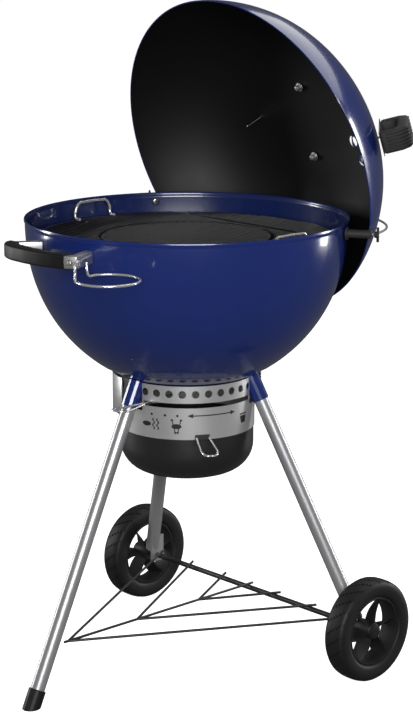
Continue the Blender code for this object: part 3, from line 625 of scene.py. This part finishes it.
chrome = Finish("chrome_wire", (0.80, 0.80, 0.81), 0.20, 0.75)
chrome.feed("Roughness", chrome.noise(60.0) * 0.12 + 0.16)
chrome.bump(chrome.noise(300.0), 0.03, 0.0002)
bail_place = Matrix.Translation(polar(0.1276, -120, 0.4525)) @ Matrix.Rotation(math.radians(-30), 4, "Z")
bail_path = [(-0.011, 0, 0), (-0.0130, -0.030, -0.007), (-0.0125, -0.054, -0.0127),
             (-0.0080, -0.0630, -0.0147), (0.0, -0.0640, -0.0149), (0.0085, -0.0630, -0.0147),
             (0.0140, -0.054, -0.0127), (0.0135, -0.030, -0.007), (0.011, 0, 0)]
bail = bent_wire([[bail_place @ Vector(point) for point in bail_path]], 0.0018)
settle(bail, "bail_wire", "bail_body", "chrome_wire", [chrome.material], "bail_handle")

# ---- vent sweep ----------------------------------------------------------------------------------------
# Three blades on a short shaft through the bowl's bottom, turned by a chrome wire lever whose looped end
# comes out through the collar's slot.
lever_path = [(0.0, 0, 0), (0.060, 0, 0), (0.118, 0, 0), (0.132, -0.0035, 0), (0.176, -0.0120, 0),
              (0.190, -0.0140, 0.001), (0.1985, -0.0100, 0.002), (0.2005, 0.0, 0.002),
              (0.1985, 0.0100, 0.002), (0.190, 0.0140, 0.001), (0.176, 0.0120, 0), (0.140, 0.0060, 0),
              (0.128, 0.0052, 0)]
lever_place = Matrix.Translation((axis_x, 0, 0.5082)) @ Matrix.Rotation(math.radians(-170.2), 4, "Z")
lever = bent_wire([[lever_place @ Vector(point) for point in lever_path]], 0.0019)
settle(lever, "lever_wire", "sweep_body", "chrome_wire", [chrome.material], "vent_lever")
dress(steel.material, "vent_blades", "sweep_shaft")

# ---- grates --------------------------------------------------------------------------------------------
# Plated steel rods welded on round rings. The cooking grate has two hinged side flaps, a round insert that
# lifts out of its middle, and a wire loop at each end to carry it by; the charcoal grate lies below.
grate_top, grate_r, flap_r, insert_r, flap_x = 0.7915, 0.2720, 0.2660, 0.1525, 0.1660
rod_r, hoop_r, rod_pitch = 0.0016, 0.0023, 0.0105

plated = Finish("plated_grate", (0.16, 0.16, 0.16), 0.32, 1.0)
plated.feed("Roughness", plated.noise(45.0) * 0.14 + 0.26)
plated.shade(plated.noise(18.0) * 0.5, (0.11, 0.11, 0.11))


def ring_path(radius, z, start=0.0, end=360.0, steps=72):
    return [polar(radius, start + (end - start) * i / steps, z) for i in range(steps + 1)]


def rods_across(low_x, high_x, pitch, z, reach):
    """Straight rods along Y, cut to the stretches that reach(x) gives."""
    count = round((high_x - low_x) / pitch)
    paths = []
    for index in range(count + 1):
        x = low_x + (high_x - low_x) * index / count
        for near, far in reach(x):
            paths.append([Vector((axis_x + x, near, z)), Vector((axis_x + x, far, z))])
    return paths


rod_z = grate_top - rod_r
ring_z = grate_top - 2 * rod_r - 0.0002


def half_chord(radius, x):
    return math.sqrt(max(radius ** 2 - x * x, 0.0))


def frame_reach(x):
    far, inner = half_chord(grate_r - 0.003, x), half_chord(insert_r + 0.0045, x)
    return [(inner, far), (-far, -inner)] if inner > 0 else [(-far, far)]


half_frame = flap_x - 0.0040
frame_arc = math.degrees(math.asin(half_frame / (grate_r - 0.0026)))
frame_rings = [ring_path(insert_r + 0.0045, ring_z)]
for middle in (90, 270):
    frame_rings.append(ring_path(grate_r - 0.0026, ring_z, middle - frame_arc, middle + frame_arc, 36))
side_y = half_chord(grate_r - 0.0026, half_frame)
side_bars = [[Vector((axis_x + x, -side_y, ring_z)), Vector((axis_x + x, side_y, ring_z))]
             for x in (-half_frame, half_frame)]
cooking = join_pieces([bent_wire(rods_across(-0.1575, 0.1575, rod_pitch, rod_z, frame_reach), rod_r, False),
                       bent_wire(frame_rings, hoop_r), bent_wire(side_bars, hoop_r, False)])
settle(cooking, "cooking_grate_rods", "cooking_grate_body", "plated_grate", [plated.material],
       "cooking_grate_frame")
def flap_reach(x):
    far = half_chord(flap_r - 0.003, x)
    return [(-far, far)]


for side, sign in (("back", 1), ("front", -1)):
    flap_rods = rods_across(flap_x + 0.0130, 0.2540, rod_pitch, rod_z, flap_reach)
    reach = math.degrees(math.acos((flap_x + 0.0026) / (flap_r - 0.0026)))
    middle = 0 if sign > 0 else 180
    outline = ring_path(flap_r - 0.0026, ring_z, middle - reach, middle + reach, 36)
    rods = [[Vector((axis_x + sign * (p.x - axis_x), p.y, p.z)) for p in path] for path in flap_rods]
    flap = join_pieces([bent_wire(rods, rod_r, False), bent_wire([outline], hoop_r),
                        bent_wire([[outline[0], outline[-1]]], hoop_r, False)])
    settle(flap, "grate_flap_" + side + "_rods", "flap_" + side + "_body", "plated_grate",
           [plated.material], "grate_flap_" + side)


def insert_reach(x):
    far = half_chord(insert_r - 0.0028, x)
    return [(-far, far)]


middle_bar = [polar(insert_r - 0.003, angle, ring_z) for angle in (0, 180)]
insert = join_pieces([bent_wire(rods_across(-0.1420, 0.1420, rod_pitch, rod_z, insert_reach), rod_r, False),
                      bent_wire([ring_path(insert_r - 0.0024, ring_z)], hoop_r),
                      bent_wire([middle_bar], 0.0020, False)])
settle(insert, "insert_rods", "insert_body", "plated_grate", [plated.material], "grate_centre_insert")


charcoal_r, charcoal_rod_z, charcoal_ring_z = 0.2115, 0.6343, 0.6322


def charcoal_reach(x):
    far = half_chord(charcoal_r, x)
    return [(-far, far)]


charcoal_rods = rods_across(-0.198, 0.198, 0.018, charcoal_rod_z, charcoal_reach)
charcoal_cross = [[Vector((axis_x + x, y, charcoal_ring_z)) for x in (-charcoal_r, charcoal_r)]
                  for y in (-0.05, 0.05)]
charcoal = join_pieces([bent_wire(charcoal_rods, 0.0017, False),
                        bent_wire([ring_path(charcoal_r + 0.0013, charcoal_ring_z)], 0.0021),
                        bent_wire(charcoal_cross, 0.0020, False)])
settle(charcoal, "charcoal_grate_rods", "charcoal_grate_body", "plated_grate", [plated.material],
       "charcoal_grate")
loop_r = 0.0025
for side, sign in (("left", 1), ("right", -1)):
    low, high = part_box("grate_loop_" + side)
    y = high.y - loop_r if sign > 0 else low.y + loop_r
    half, foot, top = (high.x - low.x) / 2 - loop_r, low.z + loop_r, high.z - loop_r
    loop_path = [(-half, y - sign * 0.012, foot), (-half, y - sign * 0.004, foot), (-half, y, foot + 0.004),
                 (-half + 0.001, y, top - 0.014), (-half + 0.010, y, top - 0.001), (-half + 0.020, y, top),
                 (half - 0.020, y, top), (half - 0.010, y, top - 0.001), (half - 0.001, y, top - 0.014),
                 (half, y, foot + 0.004), (half, y - sign * 0.004, foot), (half, y - sign * 0.012, foot)]
    loop = bent_wire([[Vector((axis_x + x, across, z)) for x, across, z in loop_path]], loop_r)
    settle(loop, "carry_loop_" + side, "cooking_grate_body", "chrome_wire", [chrome.material],
           "grate_loop_" + side)
for number in (1, 2, 3):
    eased_copy("grate_bracket_%d" % number, 0.0004, "grate_ledge_%d" % number, "base", "brushed_steel",
               [steel.material])

# ---- bowl handle and tool ring -------------------------------------------------------------------------
# A black nylon grip on two steel brackets bolted through the bowl, with a chrome wire ring below it for
# hanging tools.
for side in ("left", "right"):
    eased_copy("bowl_handle_arm_" + side, 0.0012, "handle_bracket_" + side, "base", "brushed_steel",
               [steel.material])
    eased_copy("bowl_handle_bolt_" + side, 0.0006, "handle_bolt_head_" + side, "base", "brushed_steel",
               [chrome.material])

grip_outline = [(-0.0580, -0.0740), (-0.0660, -0.0450), (-0.0710, -0.0100), (-0.0710, 0.0300),
                (-0.0660, 0.0650), (-0.0520, 0.0900), (-0.0400, 0.0980), (-0.0300, 0.0980),
                (-0.0300, 0.0760), (-0.0380, 0.0700), (-0.0450, 0.0400), (-0.0470, 0.0000),
                (-0.0440, -0.0400), (-0.0360, -0.0740)]


def moulded_outline(outline, thickness, rounding, hard=()):
    """A flat outline through its points, thick along Z and rounded over all round."""
    curve = bpy.data.curves.new("outline", "CURVE")
    curve.dimensions = "2D"
    curve.fill_mode = "BOTH"
    curve.extrude = thickness / 2 - rounding
    curve.bevel_depth = rounding
    curve.bevel_resolution = 4
    curve.offset = -rounding
    curve.resolution_u = 8
    spline = curve.splines.new("BEZIER")
    spline.bezier_points.add(len(outline) - 1)
    for index, (knot, (x, y)) in enumerate(zip(spline.bezier_points, outline)):
        knot.co = (x, y, 0)
        knot.handle_left_type = knot.handle_right_type = "VECTOR" if index in hard else "AUTO"
    spline.use_cyclic_u = True
    piece = bpy.data.objects.new("outline", curve)
    bpy.context.scene.collection.objects.link(piece)
    bpy.ops.object.select_all(action="DESELECT")
    piece.select_set(True)
    bpy.context.view_layer.objects.active = piece
    bpy.ops.object.convert(target="MESH")
    piece = bpy.context.active_object
    bpy.ops.object.mode_set(mode="EDIT")
    bpy.ops.mesh.select_all(action="SELECT")
    bpy.ops.mesh.remove_doubles(threshold=1e-6)
    bpy.ops.mesh.normals_make_consistent(inside=False)
    bpy.ops.object.mode_set(mode="OBJECT")
    return piece


grip_z = 0.7950
grip = moulded_outline(grip_outline, 0.025, 0.0045, hard=(0, 7, 8, 13))
put(grip, Matrix.Translation((axis_x - bowl_radius(grip_z), 0, grip_z)))
settle(grip, "bowl_grip", "base", "black_nylon", [nylon.material], "bowl_handle_grip")
tool_path = [(-0.2935, -0.0835, 0.8010), (-0.3250, -0.0990, 0.8000), (-0.3430, -0.1085, 0.7990),
             (-0.3480, -0.1115, 0.7930), (-0.3489, -0.1120, 0.7800)]
ring_x, ring_y, ring_z_low, ring_r = -0.3100, -0.1480, 0.7710, 0.053
for degrees in range(145, 446, 12):
    turn = math.radians(degrees)
    tool_path.append((ring_x + ring_r * math.cos(turn), ring_y + ring_r * math.sin(turn), ring_z_low))
tool_path += [(-0.3090, -0.0950, 0.7790), (-0.3080, -0.0920, 0.7930)]
ring = bent_wire([[Vector((axis_x + x, y, z)) for x, y, z in tool_path]], 0.0022)
settle(ring, "tool_ring_wire", "base", "chrome_wire", [chrome.material], "tool_ring")

# ---- lid holder ----------------------------------------------------------------------------------------
# A chrome wire hoop bowed round outside the bowl, bolted on two black spacers, in which the lid is parked
# on its rim. Each end is held by a round-headed bolt inside the bowl and a nut outside.
for side in ("left", "right"):
    eased_copy("lid_holder_tube_" + side, 0.0010, "holder_spacer_" + side, "base", "black_nylon",
               [nylon.material])
    eased_copy("lid_holder_bolt_" + side, 0.0008, "holder_bolt_head_" + side, "base", "chrome_wire",
               [chrome.material])
    eased_copy("lid_holder_nut_" + side, 0.0007, "holder_wing_nut_" + side, "base", "black_nylon",
               [nylon.material])
hoop_half, hoop_reach, hoop_z, hoop_bow, hoop_dip = 59.5, 0.3357, 0.8085, 0.0420, 0.012
hoop_path = []
for index in range(33):
    along = index / 16 - 1
    share = math.cos(math.radians(90 * along))
    hoop_path.append(polar(hoop_reach + hoop_bow * share, hoop_half * along, hoop_z - hoop_dip * share))
hoop = bent_wire([hoop_path], 0.0022)
settle(hoop, "holder_hoop", "base", "chrome_wire", [chrome.material], "lid_holder_wire")

# ---- lid -----------------------------------------------------------------------------------------------
# The domed lid, blue enamel outside and black inside, parked on its rim. It carries a nylon handle on top,
# one on its flank over a plated heat shield, a probe thermometer and a turning damper over four holes.
lid_r, lid_depth, lid_wall = 0.297, 0.1726, 0.0016
lid_fullness_out, lid_fullness_up = 3.5, 1.224
tilt = math.radians(17.7)
lid_place = Matrix(((0, -math.sin(tilt), math.cos(tilt), axis_x + 0.1422), (1, 0, 0, 0),
                    (0, math.cos(tilt), math.sin(tilt), 0.9171), (0, 0, 0, 1)))

black_enamel = Finish("black_enamel", (0.0040, 0.0040, 0.0042), 0.52)
black_enamel.feed("Roughness", black_enamel.noise(20.0) * 0.10 + 0.48)
black_enamel.bump(black_enamel.noise(600.0, 2.0), 0.05, 0.0002)
black_enamel.shader.inputs["Specular IOR Level"].default_value = 0.28


def lid_height(radius):
    return lid_depth * max(0.0, 1 - (radius / lid_r) ** lid_fullness_out) ** (1 / lid_fullness_up)


def dome_place(x, y):
    """The frame on the dome's outside above (x, y), its +Z along the outward normal."""
    step = 1e-4
    height = lid_height(math.hypot(x, y))
    normal = Vector((-(lid_height(math.hypot(x + step, y)) - height) / step,
                     -(lid_height(math.hypot(x, y + step)) - height) / step, 1)).normalized()
    return Matrix.Translation((x, y, height)) @ normal.to_track_quat("Z", "Y").to_matrix().to_4x4()


radii = [lid_r * (1 - (i / 46) ** 1.6) for i in range(1, 46)]
lid_profile = [(lid_r - 0.0008, -0.0002), (lid_r, 0.0012)]
lid_profile += [(radius, lid_height(radius)) for radius in radii if lid_height(radius) > 0.003]
lid_shell = turned(lid_profile, 160)
lid_shell.data.materials.append(blue_enamel)
lid_shell.data.materials.append(black_enamel.material)
apply_modifier(lid_shell, "SOLIDIFY", thickness=lid_wall, offset=-1, material_offset=1, use_even_offset=True)
damper_place = dome_place(-0.1360, -0.0340)
probe_place = dome_place(0.1200, 0.0)


def upright_bar(radius, low, high, x=0.0, y=0.0):
    bar = turned([(radius, low), (radius, high), (radius / 2, high)], 28, (x, y))
    close_first_ring(bar)
    return bar


damper_ring = 0.026
hole_bars = [upright_bar(0.0110, -0.02, 0.02, x, y)
             for x, y in ((damper_ring, 0), (0, damper_ring), (-damper_ring, 0), (0, -damper_ring))]
subtract(lid_shell, put(join_pieces(hole_bars), damper_place))
subtract(lid_shell, put(upright_bar(0.0040, -0.02, 0.02), probe_place))
put(lid_shell, lid_place)
settle(lid_shell, "lid_shell", "lid_body", "blue_enamel", [blue_enamel, black_enamel.material], "lid")

for number in (1, 2):
    eased_copy("lid_handle_bolt_%d" % number, 0.0008, "lid_bolt_head_%d" % number, "lid_body",
               "brushed_steel", [chrome.material])
eased_copy("lid_top_handle", 0.0050, "lid_grip_top", "lid_body", "black_nylon", [nylon.material], 4)
eased_copy("lid_side_handle", 0.0050, "lid_grip_side", "lid_body", "black_nylon", [nylon.material], 4)

grip_place = dome_place(-0.2430, 0.0200)
grip_out = grip_place.col[2].to_3d()
grip_across = Vector((-0.0200, -0.2430, 0)).normalized()
grip_along = grip_across.cross(grip_out)
grip_foot = grip_place.translation + grip_out * 0.0084
rib_outline = [(0.0420, 0.010), (0.0420, 0.034), (0.0330, 0.050),
               (-0.0330, 0.050), (-0.0420, 0.034), (-0.0420, 0.010)]
ribs = []
for shift in (-0.015, -0.009, -0.003, 0.003, 0.009, 0.015):
    middle = grip_foot + grip_across * shift
    ribs.append([lid_place @ (middle + grip_along * along + grip_out * out) for along, out in rib_outline])
settle(bent_wire(ribs, 0.0013, False), "lid_grip_ribs", "lid_body", "black_nylon", [nylon.material])
eased_copy("side_heat_shield", 0.0004, "heat_shield_plate", "lid_body", "chrome_wire", [chrome.material])
eased_copy("thermometer", 0.0006, "thermometer_dial", "lid_body", "chrome_wire", [chrome.material])
eased_copy("lid_damper", 0.0004, "damper_disc", "damper_body", "brushed_steel", [steel.material])

# ---- floor, light and camera ---------------------------------------------------------------------------
# A glowing white paper floor, one flat sheet that is kept out of reflections so that the enamel stays deep,
# lit by four softboxes. The camera is above the lid and a little to the handle's side.
bpy.ops.object.select_all(action="DESELECT")
bpy.ops.mesh.primitive_plane_add(size=60, location=(0, 0, 0))
paper = bpy.context.active_object
paper.name = "studio_floor"
paper_white = Finish("paper_white", (0.80, 0.80, 0.80), 0.9)
paper_white.feed("Roughness", paper_white.noise(2.0) * 0.1 + 0.85)
paper_white.shader.inputs["Emission Color"].default_value = (1, 1, 1, 1)
paper_white.shader.inputs["Emission Strength"].default_value = 0.94
paper.data.materials.append(paper_white.material)
paper.visible_glossy = paper.visible_diffuse = False

bpy.context.scene.view_settings.view_transform = "Standard"
world = bpy.data.worlds.new("studio")
world.use_nodes = True
world.node_tree.nodes["Background"].inputs["Color"].default_value = (1.0, 1.0, 1.0, 1)
world.node_tree.nodes["Background"].inputs["Strength"].default_value = 0.09
bpy.context.scene.world = world


def softbox(name, location, target, size, watts):
    bpy.ops.object.light_add(type="AREA", location=location)
    lamp = bpy.context.active_object
    lamp.name = name
    lamp.data.shape = "RECTANGLE"
    lamp.data.size, lamp.data.size_y = size
    lamp.data.energy = watts
    lamp.rotation_euler = (Vector(target) - Vector(location)).to_track_quat("-Z", "Y").to_euler()


softbox("key_softbox", (-2.5, -3.1, 1.7), (0, 0, 0.55), (2.2, 1.4), 150)
softbox("left_softbox", (-1.6, 3.2, 1.0), (0, 0, 0.6), (0.6, 2.0), 60)
softbox("right_softbox", (3.2, -1.4, 1.0), (0, 0, 0.6), (0.6, 2.0), 60)
softbox("top_softbox", (1.8, 0.2, 3.0), (0.2, 0, 0.8), (2.6, 2.6), 34)

camera_data = bpy.data.cameras.new("camera")
camera = bpy.data.objects.new("camera", camera_data)
bpy.context.scene.collection.objects.link(camera)
camera.location = (axis_x - 2.4184, -2.6346, 1.4027)
camera.rotation_euler = (math.radians(77.07), 0, math.radians(-42.80))
camera_data.lens = 102.12
camera_data.sensor_width = 36
camera_data.shift_x, camera_data.shift_y = 0.01508, -0.01363
bpy.context.scene.camera = camera
